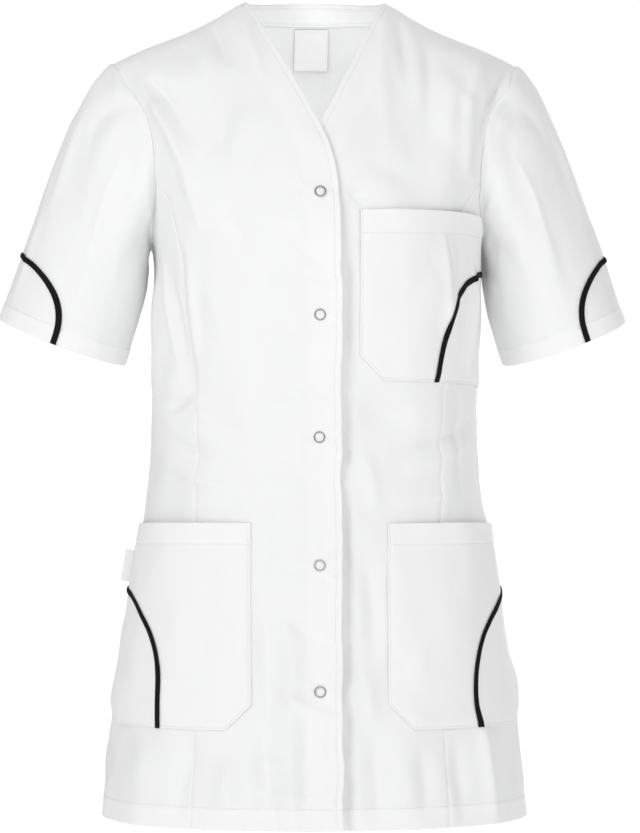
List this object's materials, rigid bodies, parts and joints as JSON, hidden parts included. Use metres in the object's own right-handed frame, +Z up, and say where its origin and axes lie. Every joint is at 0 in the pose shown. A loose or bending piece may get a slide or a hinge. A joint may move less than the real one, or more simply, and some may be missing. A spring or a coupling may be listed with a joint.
{
  "type": "medical tunic",
  "caption": "Short-sleeved V-neck work tunic with a snap placket, patch pockets and contrast piping, hollow as worn.",
  "frame": {"origin": "midway between the two points where the neck meets the shoulders, where the tunic rests on its wearer", "axes": "+Z up, from hem to neck; -Y is the front, where it closes; +X is the wearer's left side"},
  "size_m": [0.5516, 0.2721, 0.7291],
  "materials": {
    "cloth": "white poly-cotton twill, pressed, matte with a slight sheen",
    "piping": "black folded poly-cotton strip, matte",
    "snap_metal": "nickel-plated snap ring",
    "label": "white woven tape, bare"
  },
  "bodies": {
    "root": {"front_right": "cloth", "front_left": "cloth", "side_front_right": "cloth", "side_front_left": "cloth", "back": "cloth", "back_collar": "cloth", "sleeve_right": "cloth", "sleeve_left": "cloth", "sleeve_inset_right": "cloth", "sleeve_inset_left": "cloth", "sleeve_piping_right": "piping", "sleeve_piping_left": "piping", "chest_pocket": "cloth", "chest_pocket_inset": "cloth", "chest_pocket_piping": "piping", "pocket_right": "cloth", "pocket_right_inset": "cloth", "pocket_right_piping": "piping", "pocket_left": "cloth", "pocket_left_inset": "cloth", "pocket_left_piping": "piping", "snap_ring_1": "snap_metal", "snap_ring_2": "snap_metal", "snap_ring_3": "snap_metal", "snap_ring_4": "snap_metal", "snap_ring_5": "snap_metal", "snap_coupling_1": "snap_metal", "snap_coupling_2": "snap_metal", "snap_coupling_3": "snap_metal", "snap_coupling_4": "snap_metal", "snap_coupling_5": "snap_metal", "snap_back_1": "snap_metal", "snap_back_2": "snap_metal", "snap_back_3": "snap_metal", "snap_back_4": "snap_metal", "snap_back_5": "snap_metal", "neck_label": "label", "pocket_tab": "label"}
  },
  "joints": []
}
